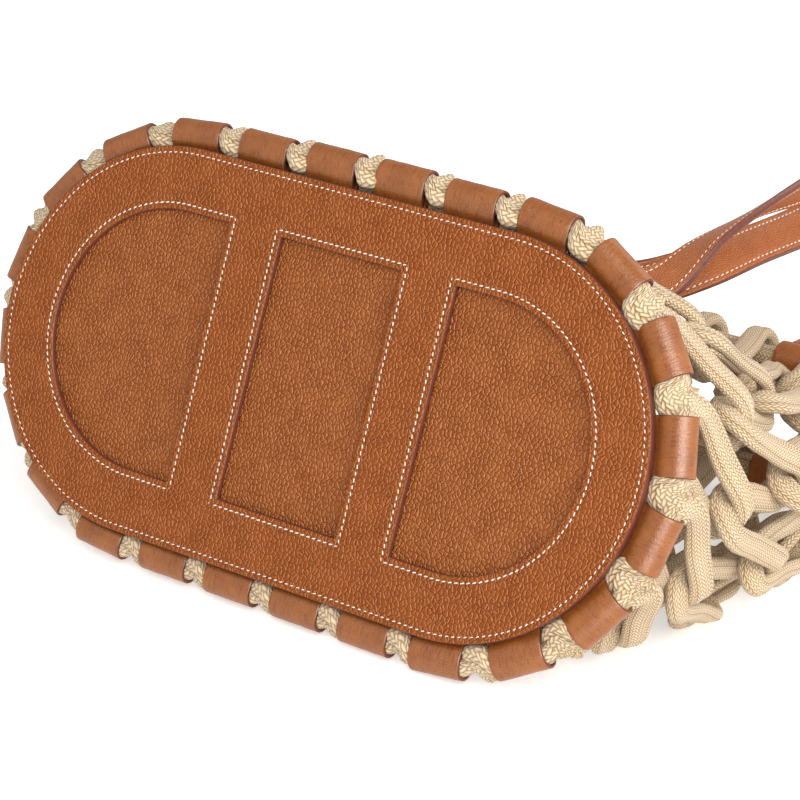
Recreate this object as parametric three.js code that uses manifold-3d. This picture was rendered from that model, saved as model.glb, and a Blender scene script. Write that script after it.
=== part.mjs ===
// A rope tote bag lying on its side: a stitched leather base with a ring of leather loops, an open
// net of hooked rope courses, a rope round the mouth and two leather strap handles.
// Millimetres, +Z up. X runs along the base and Y from the base to the mouth.

import * as THREE from 'three';
import { mergeVertices } from 'three/addons/utils/BufferGeometryUtils.js';
import Module from 'manifold-3d';

// Base: a stadium, leaning back from upright as the bag lies
const BASE_HALF_STRAIGHT = 78;
const BASE_RADIUS = 82;
const BASE_LEAN = THREE.MathUtils.degToRad(24.7);
const FRAME_THICKNESS = 2.6;
const FRAME_BORDER = 26.6;
const BAR_WIDTH = 27;
const MIDDLE_WINDOW = 60;
const PANEL_THICKNESS = 2.8;
const PANEL_INSET = 0.6;
const GAP = 0.3;

// Leather loops: a strip folded round the rope, its two legs sewn behind the panel
const COLUMNS = 24;
const TAB_WIDTH = 24;
const LEATHER = 1.5;
const TUNNEL_RADIUS = 4.9;
const TUNNEL_OUT = 5.6;
const TAB_LEG = 12;
const LEG_HALF = LEATHER + 0.1;
const NECK_ANGLE = THREE.MathUtils.degToRad(150);
const LEGS_FRONT = FRAME_THICKNESS + PANEL_THICKNESS + 2 * GAP;
const TUNNEL_DEPTH = LEGS_FRONT + LEG_HALF;

// Rope and the way two courses hook into each other
const ROPE_RADIUS = 3.3;
const ROPE_SIDES = 6;
const COURSES = 5;
const LAYER = 5.2;
const HOOK_REACH = 5.8;
const BIGHT_HALF = 6.2;
const BIGHT_SHOULDER = 1.1;

// The rope's way out of a loop, across the gap and behind the next loop
const TUNNEL_RUN = 13.5;
const GAP_BACK = 4.8;
const GAP_OUT = 5.6;
const BEHIND_TAB = 11;

// The slumped net, from the first section behind the rim to the mouth
const NET_SECTIONS = [
  { topY: 80, topZ: 32, lowY: 22, lowZ: -83.4, halfWidth: 176 },
  { topY: 120, topZ: -8, lowY: 76, lowZ: -83.4, halfWidth: 178 },
  { topY: 162, topZ: -27, lowY: 132, lowZ: -83, halfWidth: 171 },
  { topY: 200, topZ: -33, lowY: 184, lowZ: -79.3, halfWidth: 161 },
];

// Mouth: the last course loops over the mouth rope, a little apart beside each sleeve
const SLEEVES = [
  { name: 'mouth_sleeve_1', column: 4 },
  { name: 'mouth_sleeve_2', column: 20 },
  { name: 'mouth_sleeve_3', column: 8 },
  { name: 'mouth_sleeve_4', column: 16 },
];
const SLEEVE_LENGTH = 18;
const HOOK_SHIFT = 0.1;
const MOUTH_LOOP = 9;
const MOUTH_LOOP_HALF = 3.2;
const SAG = 0.68;
const SAG_FULL = 0.2;
const SAG_EASES = 0.25;
const MOUTH_LOOP_STEPS = 4;

// Handles: straps that leave the mouth, turn over and lie on the net
const STRAP_WIDTH = 20;
const STRAP_THICKNESS = 3.5;
const STRAP_STEPS = 52;
const STRAP_START = 11;
const STRAP_SEWN = 10;
const HANDLES = [
  {
    name: 'handle_upper',
    sleeves: ['mouth_sleeve_1', 'mouth_sleeve_2'],
    route: [
      { at: [113, 244, -41], across: [1, 0, 0] },
      { at: [110, 266, -34], across: [1, 0, 0] },
      { at: [107, 280, -15], across: [1, 0, 0] },
      { at: [105, 275, 6], across: [1, 0, 0] },
      { at: [102, 256, 18], across: [0.97, 0, -0.2] },
      { at: [99, 230, 17.5], across: [0.88, -0.1, -0.46] },
      { at: [94, 195, 18.5], across: [0.88, -0.1, -0.46] },
      { at: [86, 162, 17], across: [0.8, -0.1, -0.6] },
      { at: [70, 143, 13], across: [0.35, 0, -0.94] },
      { at: [46, 135, 11], across: [0, 0, -1] },
      { at: [0, 132, 11], across: [0, 0, -1] },
      { at: [-46, 136, 9], across: [0, 0, -1] },
      { at: [-68, 152, 2], across: [0.4, 0, -0.92] },
      { at: [-80, 184, -12], across: [0.97, 0, -0.25] },
      { at: [-91, 212, -17], across: [1, 0, 0] },
      { at: [-102, 238, -23], across: [1, 0, 0] },
      { at: [-109, 252, -33], across: [1, 0, 0] },
      { at: [-114, 243, -41], across: [1, 0, 0] },
    ],
  },
  {
    name: 'handle_lower',
    sleeves: ['mouth_sleeve_3', 'mouth_sleeve_4'],
    route: [
      { at: [113, 236, -87], across: [1, 0, 0] },
      { at: [112, 284, -80], across: [1, 0, 0] },
      { at: [110, 316, -52], across: [1, 0, 0] },
      { at: [109, 327, -16], across: [1, 0, 0] },
      { at: [108, 314, 18], across: [1, 0, 0] },
      { at: [107, 280, 34], across: [0.85, -0.1, 0.5] },
      { at: [104, 234, 37.5], across: [0.45, -0.15, 0.88] },
      { at: [101, 195, 39], across: [0.68, -0.3, 0.67] },
      { at: [96, 155, 35], across: [0.87, -0.32, 0.36] },
      { at: [85, 123, 21.5], across: [0.92, -0.19, -0.34] },
      { at: [57, 110, 25], across: [0, 0, -1] },
      { at: [0, 108, 28], across: [0, 0, -1] },
      { at: [-60, 112, 24], across: [0, 0, -1] },
      { at: [-88, 128, 14], across: [0.35, 0, -0.94] },
      { at: [-99, 160, 1], across: [0.8, 0, -0.6] },
      { at: [-107, 196, -7], across: [1, 0, -0.1] },
      { at: [-111, 234, -13], across: [1, 0, 0] },
      { at: [-113, 270, -28], across: [1, 0, 0] },
      { at: [-114, 297, -51], across: [1, 0, 0] },
      { at: [-114, 301, -72], across: [1, 0, 0] },
      { at: [-114, 284, -86], across: [1, 0, 0] },
      { at: [-114, 256, -88.5], across: [1, 0, 0] },
      { at: [-114, 230, -86], across: [1, 0, 0] },
    ],
  },
];

const TAN_LEATHER = { color: 0xa86a3c, roughness: 0.55, metalness: 0 };
const PANEL_LEATHER = { color: 0x9f6338, roughness: 0.55, metalness: 0 };
const STRAP_LEATHER = { color: 0xb0703f, roughness: 0.5, metalness: 0 };
const BEIGE_ROPE = { color: 0xc9b18c, roughness: 0.85, metalness: 0 };

function piece(name, geometry, look) {
  const mesh = new THREE.Mesh(geometry, new THREE.MeshStandardMaterial(look));
  mesh.name = name;
  return mesh;
}

const wasm = await Module();
wasm.setup();

function solid(geometry) {
  geometry.deleteAttribute('normal');
  geometry.deleteAttribute('uv');
  const merged = mergeVertices(geometry);
  return new wasm.Manifold(new wasm.Mesh({
    numProp: 3,
    vertProperties: merged.getAttribute('position').array,
    triVerts: new Uint32Array(merged.index.array),
  }));
}

function geometryOf(body) {
  const mesh = body.getMesh();
  const geometry = new THREE.BufferGeometry();
  geometry.setAttribute('position', new THREE.BufferAttribute(mesh.vertProperties, 3));
  geometry.setIndex(new THREE.BufferAttribute(mesh.triVerts, 1));
  return geometry;
}

// Centre and outward direction at a share of a turn round a stadium, clockwise from the top middle
function stadium(turn, halfStraight, radius) {
  const arc = Math.PI * radius;
  let run = (turn - Math.floor(turn)) * (4 * halfStraight + 2 * arc);
  const stretches = [
    { length: halfStraight, from: 0, to: halfStraight, angle: 0, sweep: 0 },
    { length: arc, from: halfStraight, to: halfStraight, angle: 0, sweep: Math.PI },
    { length: 2 * halfStraight, from: halfStraight, to: -halfStraight, angle: Math.PI, sweep: 0 },
    { length: arc, from: -halfStraight, to: -halfStraight, angle: Math.PI, sweep: Math.PI },
    { length: halfStraight, from: -halfStraight, to: 0, angle: 0, sweep: 0 },
  ];
  for (const stretch of stretches) {
    if (run <= stretch.length) {
      const share = run / stretch.length;
      const angle = stretch.angle + share * stretch.sweep;
      const centre = stretch.from + share * (stretch.to - stretch.from);
      return { centre, outX: Math.sin(angle), outZ: Math.cos(angle) };
    }
    run -= stretch.length;
  }
  return { centre: 0, outX: 0, outZ: 1 };
}

function stadiumShape(halfStraight, radius) {
  const shape = new THREE.Shape();
  shape.absarc(halfStraight, 0, radius, -Math.PI / 2, Math.PI / 2, false);
  shape.absarc(-halfStraight, 0, radius, Math.PI / 2, 1.5 * Math.PI, false);
  return shape;
}

// An end window: a half stadium closed by the straight edge of a bar
function endWindow(side) {
  const radius = BASE_RADIUS - FRAME_BORDER;
  const edge = MIDDLE_WINDOW / 2 + BAR_WIDTH;
  const start = -side * Math.PI / 2;
  const shape = new THREE.Shape();
  shape.moveTo(side * edge, side * radius);
  shape.lineTo(side * edge, -side * radius);
  shape.absarc(side * BASE_HALF_STRAIGHT, 0, radius, start, start + Math.PI, false);
  return shape;
}

function middleWindow() {
  const radius = BASE_RADIUS - FRAME_BORDER;
  const half = MIDDLE_WINDOW / 2;
  const shape = new THREE.Shape();
  shape.moveTo(-half, -radius);
  shape.lineTo(half, -radius);
  shape.lineTo(half, radius);
  shape.lineTo(-half, radius);
  return shape;
}

// A plate of the base: its outline faces the front, and its thickness goes inwards
function basePlate(shape, front, thickness) {
  const geometry = new THREE.ExtrudeGeometry(shape, {
    depth: thickness,
    bevelEnabled: false,
    curveSegments: 12,
  });
  geometry.rotateX(Math.PI / 2);
  geometry.translate(0, front + thickness, 0);
  return geometry;
}

function frameGeometry() {
  const outline = stadiumShape(BASE_HALF_STRAIGHT, BASE_RADIUS);
  let frame = solid(basePlate(outline, 0, FRAME_THICKNESS));
  for (const window of [endWindow(-1), middleWindow(), endWindow(1)]) {
    frame = frame.subtract(solid(basePlate(window, -1, FRAME_THICKNESS + 2)));
  }
  return geometryOf(frame);
}

function panelGeometry() {
  const outline = stadiumShape(BASE_HALF_STRAIGHT, BASE_RADIUS - PANEL_INSET);
  return basePlate(outline, FRAME_THICKNESS + GAP, PANEL_THICKNESS);
}

// A leather loop about its tunnel's axis: the legs lie along -X and the loop is drawn along Z
function loopGeometry(width) {
  const outer = TUNNEL_RADIUS + LEATHER;
  const shape = new THREE.Shape();
  shape.moveTo(-TUNNEL_OUT - TAB_LEG, -LEG_HALF);
  shape.lineTo(-TUNNEL_OUT, -LEG_HALF);
  shape.absarc(0, 0, outer, -NECK_ANGLE, NECK_ANGLE, false);
  shape.lineTo(-TUNNEL_OUT, LEG_HALF);
  shape.lineTo(-TUNNEL_OUT - TAB_LEG, LEG_HALF);
  shape.closePath();
  const tunnel = new THREE.Path();
  tunnel.absarc(0, 0, TUNNEL_RADIUS, 0, 2 * Math.PI, false);
  shape.holes.push(tunnel);
  const geometry = new THREE.ExtrudeGeometry(shape, {
    depth: width,
    bevelEnabled: false,
    curveSegments: 4,
  });
  return geometry.translate(0, 0, -width / 2);
}

// Rim: where the rope's line runs round the base, in the base's own axes
function rimPoint(turn) {
  const place = stadium(turn, BASE_HALF_STRAIGHT, BASE_RADIUS);
  const radius = BASE_RADIUS + TUNNEL_OUT;
  return {
    at: new THREE.Vector3(place.centre + radius * place.outX, TUNNEL_DEPTH, radius * place.outZ),
    out: new THREE.Vector3(place.outX, 0, place.outZ),
  };
}

function tabMesh(column) {
  const rim = rimPoint((column + 0.5) / COLUMNS);
  const inward = new THREE.Vector3(0, 1, 0);
  const along = new THREE.Vector3().crossVectors(rim.out, inward);
  const name = `rim_tab_${String(column + 1).padStart(2, '0')}`;
  const mesh = piece(name, loopGeometry(TAB_WIDTH), TAN_LEATHER);
  mesh.setRotationFromMatrix(new THREE.Matrix4().makeBasis(rim.out, inward, along));
  mesh.position.copy(rim.at);
  return mesh;
}

// Net: a surface from the rim through the sections to the mouth
function sectionPoint(section, turn) {
  const top = new THREE.Vector3(0, section.topY, section.topZ);
  const low = new THREE.Vector3(0, section.lowY, section.lowZ);
  const radius = top.distanceTo(low) / 2;
  const up = top.clone().sub(low).normalize();
  const place = stadium(turn, section.halfWidth - radius, radius);
  const point = top.clone().add(low).multiplyScalar(0.5);
  point.addScaledVector(up, radius * place.outZ);
  point.x = place.centre + radius * place.outX;
  return point;
}

// How far the net's sides hang down by their own weight, as a share of a turn
function sag(turn, back) {
  const hung = THREE.MathUtils.smoothstep(back, 0, SAG_FULL);
  const held = THREE.MathUtils.smoothstep(back, SAG_EASES, 1);
  return (SAG / COLUMNS) * Math.sin(2 * Math.PI * turn) * hung * (1 - held);
}

function netPoint(turn, back) {
  const rim = rimPoint(turn).at.applyAxisAngle(new THREE.Vector3(1, 0, 0), -BASE_LEAN);
  const hung = turn + sag(turn, back);
  const points = [rim, ...NET_SECTIONS.map((section) => sectionPoint(section, hung))];
  return new THREE.CatmullRomCurve3(points).getPoint(back);
}

// Axes of the net's surface at a column and a share of its depth: along the course, back and out
function netFrame(column, back) {
  const step = 0.01;
  const turn = column / COLUMNS;
  const near = Math.max(back - step, 0);
  const far = Math.min(back + step, 1);
  const along = netPoint(turn + step / 2, back).sub(netPoint(turn - step / 2, back)).normalize();
  const inward = netPoint(turn, far).sub(netPoint(turn, near)).normalize();
  const out = new THREE.Vector3().crossVectors(along, inward).normalize();
  return { at: netPoint(turn, back), along, back: inward, out };
}

function place(frame, along, back, out) {
  return frame.at.clone()
    .addScaledVector(frame.along, along)
    .addScaledVector(frame.back, back)
    .addScaledVector(frame.out, out);
}

// A bight's three points. A crest reaches back over the next course, and a trough reaches forward
// under the last one; each goes from one layer of the net to the other.
function crest(frame) {
  return [
    place(frame, -BIGHT_HALF, BIGHT_SHOULDER, LAYER),
    place(frame, 0, HOOK_REACH, 0),
    place(frame, BIGHT_HALF, BIGHT_SHOULDER, -LAYER),
  ];
}

function trough(frame) {
  return [
    place(frame, -BIGHT_HALF, -BIGHT_SHOULDER, -LAYER),
    place(frame, 0, -HOOK_REACH, 0),
    place(frame, BIGHT_HALF, -BIGHT_SHOULDER, LAYER),
  ];
}

// The last course's crest: half a turn round the mouth rope, from the outer to the inner layer
function mouthCrest(frame) {
  const points = [];
  for (let step = 0; step <= MOUTH_LOOP_STEPS; step += 1) {
    const share = step / MOUTH_LOOP_STEPS;
    const angle = Math.PI * share;
    const along = MOUTH_LOOP_HALF * (2 * share - 1);
    points.push(place(frame, along, MOUTH_LOOP * Math.sin(angle), MOUTH_LOOP * Math.cos(angle)));
  }
  return points;
}

// Column of a course's hook: odd rows sit behind the loops, and the mouth's hooks clear its sleeves
function hookColumn(row, index) {
  const column = index + (row % 2) / 2;
  if (row < COURSES) return column;
  const turned = ((column % COLUMNS) + COLUMNS) % COLUMNS;
  const sleeve = SLEEVES.find((each) => Math.abs(each.column - turned) < 1);
  if (!sleeve) return column;
  return column + HOOK_SHIFT * Math.sign(turned - sleeve.column);
}

function hookFrame(row, index) {
  return netFrame(hookColumn(row, index), row / COURSES);
}

// The first ropes go through every second loop and reach over the loop between
function firstCourse(start) {
  const points = [];
  for (let column = start; column < COLUMNS + start; column += 2) {
    const loop = netFrame(column + 0.5, 0);
    const leave = netFrame(column + 1, 0);
    const next = netFrame(column + 1.5, 0);
    const enter = netFrame(column + 2, 0);
    points.push(place(loop, -TUNNEL_RUN, 0, 0));
    points.push(place(loop, TUNNEL_RUN, 0, 0));
    points.push(place(leave, 0, GAP_BACK, GAP_OUT));
    points.push(place(next, -TAB_WIDTH / 2, BEHIND_TAB, LAYER));
    points.push(...crest(hookFrame(1, column + 1)));
    points.push(place(next, TAB_WIDTH / 2, BEHIND_TAB, -LAYER));
    points.push(place(enter, 0, GAP_BACK, -GAP_OUT));
  }
  return points;
}

function course(row) {
  const points = [];
  for (let index = 0; index < COLUMNS; index += 1) {
    points.push(...trough(hookFrame(row - 1, index)));
    const top = hookFrame(row, index + (row + 1) % 2);
    points.push(...(row < COURSES ? crest(top) : mouthCrest(top)));
  }
  return points;
}

function mouthRoute() {
  const points = [];
  for (let step = 0; step < 2 * COLUMNS; step += 1) points.push(netPoint(step / 2 / COLUMNS, 1));
  return points;
}

// A closed route that keeps its own points
class RopeRoute extends THREE.Curve {
  constructor(points) {
    super();
    this.points = points;
  }

  pointNear(share, step) {
    const count = this.points.length;
    return this.points[(Math.round(share * count) + step + count) % count];
  }

  getPointAt(share, target = new THREE.Vector3()) {
    return target.copy(this.pointNear(share, 0));
  }

  getTangentAt(share, target = new THREE.Vector3()) {
    const here = this.pointNear(share, 0);
    const after = this.pointNear(share, 1).clone().sub(here).normalize();
    const before = here.clone().sub(this.pointNear(share, -1)).normalize();
    return target.addVectors(before, after).normalize();
  }
}

function ropeMesh(name, points) {
  const route = new RopeRoute(points);
  const tube = new THREE.TubeGeometry(route, points.length, ROPE_RADIUS, ROPE_SIDES, true);
  return piece(name, tube, BEIGE_ROPE);
}

// A sleeve lies on the mouth rope between two of its loops
function sleeveFrame(sleeve) {
  const frame = netFrame(sleeve.column, 1);
  frame.back.crossVectors(frame.out, frame.along);
  return frame;
}

function sleeveMesh(sleeve) {
  const frame = sleeveFrame(sleeve);
  const mesh = piece(sleeve.name, loopGeometry(SLEEVE_LENGTH), TAN_LEATHER);
  const legs = frame.back.clone().negate();
  const axes = new THREE.Matrix4().makeBasis(legs, frame.out, legs.clone().cross(frame.out));
  mesh.setRotationFromMatrix(axes);
  mesh.position.copy(frame.at);
  return mesh;
}

// The strap's end lies on the outer face of its sleeve's legs
function strapEnd(name) {
  const frame = sleeveFrame(SLEEVES.find((sleeve) => sleeve.name === name));
  const rise = LEG_HALF + GAP + STRAP_THICKNESS / 2;
  return [STRAP_START, STRAP_START + STRAP_SEWN].map((reach) => ({
    at: place(frame, 0, reach, rise).toArray(),
    across: frame.along.toArray(),
  }));
}

// A flat bar bent along the handle's route, turning with its width
function strapMesh(handle) {
  const [first, last] = handle.sleeves.map(strapEnd);
  const sign = (end, row) => Math.sign(end[0].across[0] * row.across[0]);
  const turned = (end, row) => end.map((each) => ({
    at: each.at,
    across: each.across.map((value) => value * sign(end, row)),
  }));
  const start = turned(first, handle.route[0]);
  const finish = turned(last, handle.route[handle.route.length - 1]).reverse();
  const rows = [...start, ...handle.route, ...finish];
  const path = new THREE.CatmullRomCurve3(rows.map((row) => new THREE.Vector3(...row.at)));
  const width = new THREE.CatmullRomCurve3(rows.map((row) => new THREE.Vector3(...row.across)));
  const bar = new THREE.BoxGeometry(STRAP_WIDTH, STRAP_THICKNESS, 1, 1, 1, STRAP_STEPS);
  const spots = bar.getAttribute('position');
  for (let index = 0; index < spots.count; index += 1) {
    const share = THREE.MathUtils.clamp(spots.getZ(index) + 0.5, 0, 1);
    const tangent = path.getTangent(share);
    const across = width.getPoint(share);
    const normal = new THREE.Vector3().crossVectors(tangent, across).normalize();
    across.crossVectors(normal, tangent);
    const point = path.getPoint(share);
    point.addScaledVector(across, spots.getX(index));
    point.addScaledVector(normal, spots.getY(index));
    spots.setXYZ(index, point.x, point.y, point.z);
  }
  return piece(handle.name, bar, STRAP_LEATHER);
}

const base = new THREE.Group();
base.rotation.x = -BASE_LEAN;
base.add(piece('base_frame', frameGeometry(), TAN_LEATHER));
base.add(piece('base_panel', panelGeometry(), PANEL_LEATHER));
for (let column = 0; column < COLUMNS; column += 1) base.add(tabMesh(column));

const bag = new THREE.Group();
bag.add(base);
bag.add(ropeMesh('first_course_a', firstCourse(0)));
bag.add(ropeMesh('first_course_b', firstCourse(1)));
for (let row = 2; row <= COURSES; row += 1) bag.add(ropeMesh(`course_${row}`, course(row)));
bag.add(ropeMesh('mouth_rope', mouthRoute()));
for (const sleeve of SLEEVES) bag.add(sleeveMesh(sleeve));
for (const handle of HANDLES) bag.add(strapMesh(handle));

// The origin is at the middle of the bag's footprint, on the surface that it lies on
bag.updateMatrixWorld(true);
const box = new THREE.Box3().setFromObject(bag, true);
const middle = box.getCenter(new THREE.Vector3());
bag.position.set(-middle.x, -middle.y, -box.min.z);

const tote = new THREE.Group();
tote.add(bag);

export default tote;
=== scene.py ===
"""The looks of a rope tote bag that lies on its side: leather base, rim loops, net, handles."""
import math

import bpy
import numpy as np
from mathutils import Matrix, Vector, geometry, noise


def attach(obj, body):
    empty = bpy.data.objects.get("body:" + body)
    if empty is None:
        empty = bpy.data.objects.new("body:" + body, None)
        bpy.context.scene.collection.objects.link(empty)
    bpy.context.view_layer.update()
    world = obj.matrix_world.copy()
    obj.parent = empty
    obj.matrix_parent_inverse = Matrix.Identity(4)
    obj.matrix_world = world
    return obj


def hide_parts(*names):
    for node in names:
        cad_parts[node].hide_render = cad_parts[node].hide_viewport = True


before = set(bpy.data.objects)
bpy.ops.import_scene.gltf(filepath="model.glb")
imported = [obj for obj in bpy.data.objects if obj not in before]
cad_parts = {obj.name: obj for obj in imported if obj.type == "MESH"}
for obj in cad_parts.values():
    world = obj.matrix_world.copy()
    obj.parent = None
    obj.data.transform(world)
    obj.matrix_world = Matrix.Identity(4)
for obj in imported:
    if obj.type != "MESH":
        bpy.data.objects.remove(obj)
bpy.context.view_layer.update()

MM = 0.001
# Where the middle of the base's front lies in the row frame, in millimetres
ORIGIN = np.array([-0.037, -146.218, 92.303])

# Camera, about the middle of the base's front
CAMERA_AT = (735.172, -963.545, 564.582)
CAMERA_LOOKS = (-0.52603, 0.73599, -0.42616)
FOCAL_PIXELS = 3299.54
IMAGE_PIXELS = 800
SENSOR = 36.0

# Place and aim in metres, size in metres, watts, colour
LIGHTS = {
    "key_light": ((0.95, -1.1, 1.1), (0.05, -0.05, 0.05), 1.1, 17, (1, 0.985, 0.96)),
    "side_light": ((1.45, -0.1, 0.85), (0.12, 0, 0.05), 0.9, 13, (1, 0.98, 0.95)),
    "fill_light": ((-1.3, -0.9, 0.9), (0, -0.1, 0.08), 1.2, 2.5, (0.97, 0.98, 1)),
    "back_light": ((0.5, 1.3, 1.2), (0, 0.1, 0.05), 1.0, 9, (1, 1, 1)),
    # Wide and soft, for the gloss alone
    "shine_light": ((1.05, -1.45, 0.95), (0.1, -0.1, 0.08), 1.7, 80, (1, 1, 1)),
}
WORLD_LIGHT = 0.62
FLOOR_GLOW = 0.47
FLOOR_HALF = 6.0

# Base, as the solids have it
HALF = 78.0
RADIUS = 82.0
LEAN = math.radians(24.7)
FRAME_THICK = 2.6
BORDER = 26.6
BAR = 27.0
MIDDLE = 60.0
PANEL_FRONT = 2.9
PANEL_THICK = 2.8
PANEL_RADIUS = 81.4
WINDOW_RADIUS = RADIUS - BORDER
END_EDGE = MIDDLE / 2 + BAR

# Leather loops on the rim
COLUMNS = 24
TAB_WIDTH = 24.0
LEATHER = 1.5
TUNNEL_OUT = 5.6
TUNNEL_DEPTH = 7.6
LOOP_BACK = 1.5
LEAN_OUT = 1.3
LEAN_RIGHT = 0.012
LEAN_TOP = 2.3
LEAN_TOP_REACH = 60
LEFT_SLACK = 0.05

# Sewing
STITCH_IN = 2.75
STITCH_PITCH = 2.81
STITCH_LENGTH = 2.0
STITCH_WIDE = 0.62
OUTER_STITCH = 0.86
STITCH_HIGH = 0.5
STITCH_SLANT = math.radians(-13)
STITCH_SIDES = 6
STITCH_DIP = 0.22
SEAM_PITCH = 1.0
SEAM_LIFT = -0.2
WALK_STEP = 0.3

# Rope net
COURSES = 5
LAYER = 5.2
HOOK_REACH = 5.8
BIGHT_HALF = 6.2
BIGHT_SHOULDER = 1.1
TUNNEL_RUN = 11.0
GAP_NEAR = -3.4
GAP_FAR = 2.6
KNOB_TUCK = 0.75
KNOB_SPREAD = 0.45
TUCKED_BACK = 9.0
TUCKED_OUT = 5.5
BEHIND_TAB = 10.0
LEAVE_RUN = 3.5
LEAVE_BACK = 13.0
LEAVE_OUT = 1.5
NET_SECTIONS = (
    # top y, top z, low y, low z, half width
    (80, 32, 22, -83.4, 176),
    (120, -8, 76, -83.4, 178),
    (162, -27, 132, -83, 171),
    (200, -33, 184, -79.3, 161),
)
SLEEVES = {"mouth_sleeve_1": 4, "mouth_sleeve_2": 20, "mouth_sleeve_3": 8, "mouth_sleeve_4": 16}
SLEEVE_LENGTH = 18.0
HOOK_SHIFT = 0.1
MOUTH_LOOP = 9.0
MOUTH_LOOP_HALF = 3.2
MOUTH_LOOP_STEPS = 4
SAG = 0.68
SAG_FULL = 0.2
SAG_EASES = 0.25

# Half width and half thickness of the soft rope, by what it does there
ROPE_SIZE = {
    "tunnel": (4.6, 4.3),
    "gap": (8.1, 5.0),
    "tucked": (4.6, 3.4),
    "strand": (5.6, 2.6),
    "bight": (5.0, 3.2),
    "loop": (4.8, 2.9),
    "mouth": (4.4, 4.2),
}
YARNS = 24
ROPE_SIDES = 36
PLAIT = 1.9
COLUMN_RISE = 0.12
RING_NEAR = 1.5
RING_FAR = 3.0
ROUTE_STEPS = 24
PLAIT_STEPS = 4
ROPE_EASE = 1.5
TIGHT_BEND = 14
ROPE_WANDER = 0.12
ROPE_ROUND = 0.9
DENT_DEEP = 0.22
DENT_WIDE = 0.28
FLOOR_CLEAR = 0.0001

# Strap handles
STRAP_THICK = 3.5
STRAP_START = 11.0
STRAP_SEWN = 10.0
LEG_HALF = 1.6
GAP = 0.3
HANDLES = {
    "handle_upper": {
        "sleeves": ("mouth_sleeve_1", "mouth_sleeve_2"),
        # x, y, z of the strap's middle, then its direction across
        "route": (
            (113, 244, -41, 1, 0, 0),
            (110, 266, -34, 1, 0, 0),
            (107, 280, -15, 1, 0, 0),
            (105, 275, 6, 1, 0, 0),
            (102, 256, 18, 0.97, 0, -0.2),
            (99, 230, 17.5, 0.88, -0.1, -0.46),
            (94, 195, 18.5, 0.88, -0.1, -0.46),
            (86, 162, 17, 0.8, -0.1, -0.6),
            (70, 143, 13, 0.35, 0, -0.94),
            (46, 135, 11, 0, 0, -1),
            (0, 132, 11, 0, 0, -1),
            (-46, 136, 9, 0, 0, -1),
            (-68, 152, 2, 0.4, 0, -0.92),
            (-80, 184, -12, 0.97, 0, -0.25),
            (-91, 212, -17, 1, 0, 0),
            (-102, 238, -23, 1, 0, 0),
            (-109, 252, -33, 1, 0, 0),
            (-114, 243, -41, 1, 0, 0),
        ),
    },
    "handle_lower": {
        "sleeves": ("mouth_sleeve_3", "mouth_sleeve_4"),
        "route": (
            (113, 236, -87, 1, 0, 0),
            (112, 284, -80, 1, 0, 0),
            (110, 316, -52, 1, 0, 0),
            (109, 327, -16, 1, 0, 0),
            (108, 314, 18, 1, 0, 0),
            (107, 280, 34, 0.85, -0.1, 0.5),
            (104, 234, 37.5, 0.45, -0.15, 0.88),
            (101, 195, 39, 0.68, -0.3, 0.67),
            (96, 155, 35, 0.87, -0.32, 0.36),
            (85, 123, 21.5, 0.92, -0.19, -0.34),
            (57, 110, 25, 0, 0, -1),
            (0, 108, 28, 0, 0, -1),
            (-60, 112, 24, 0, 0, -1),
            (-88, 128, 14, 0.35, 0, -0.94),
            (-99, 160, 1, 0.8, 0, -0.6),
            (-107, 196, -7, 1, 0, -0.1),
            (-111, 234, -13, 1, 0, 0),
            (-113, 270, -28, 1, 0, 0),
            (-114, 297, -51, 1, 0, 0),
            (-114, 301, -72, 1, 0, 0),
            (-114, 284, -86, 1, 0, 0),
            (-114, 256, -88.5, 1, 0, 0),
            (-114, 230, -86, 1, 0, 0),
        ),
    },
}


def row(points):
    """Millimetres about the base's middle to metres in the row frame."""
    return (np.asarray(points, float) + ORIGIN) * MM


def unit(v):
    return v / np.linalg.norm(v, axis=-1, keepdims=True)


def looped(points):
    return np.concatenate([points, points[:1]])


def run(points):
    """How far along a line each of its points lies."""
    return np.concatenate([[0], np.cumsum(np.linalg.norm(np.diff(points, axis=0), axis=1))])


# Camera and light

scene = bpy.context.scene
lens = bpy.data.cameras.new("camera")
lens.sensor_fit = "HORIZONTAL"
lens.sensor_width = SENSOR
lens.lens = SENSOR * FOCAL_PIXELS / IMAGE_PIXELS
lens.clip_end = 20
camera = bpy.data.objects.new("camera", lens)
camera.location = row(CAMERA_AT)
camera.rotation_euler = Vector(CAMERA_LOOKS).to_track_quat("-Z", "Y").to_euler()
scene.collection.objects.link(camera)
scene.camera = camera
scene.view_settings.view_transform = "Standard"


def area_light(name, at, aim, size, power, colour):
    lamp = bpy.data.lights.new(name, "AREA")
    lamp.shape = "DISK"
    lamp.size = size
    lamp.energy = power
    lamp.color = colour
    light = bpy.data.objects.new(name, lamp)
    light.location = at
    light.rotation_euler = (Vector(aim) - Vector(at)).to_track_quat("-Z", "Y").to_euler()
    scene.collection.objects.link(light)
    return light


lights = {name: area_light(name, *settings) for name, settings in LIGHTS.items()}
lights["shine_light"].visible_diffuse = False
world = bpy.data.worlds.new("studio")
world.use_nodes = True
world.node_tree.nodes["Background"].inputs["Color"].default_value = (1, 1, 1, 1)
world.node_tree.nodes["Background"].inputs["Strength"].default_value = WORLD_LIGHT
scene.world = world


# Materials

# The creases between pebbles, and the step across a pebble for its painted light and shade, as shares of
# a pebble
CREASE_WIDE = 0.22
PAINTED_LIGHT_STEP = 0.13
# Rows of dark dots round the rope
DOT_ROWS = 4


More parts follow.
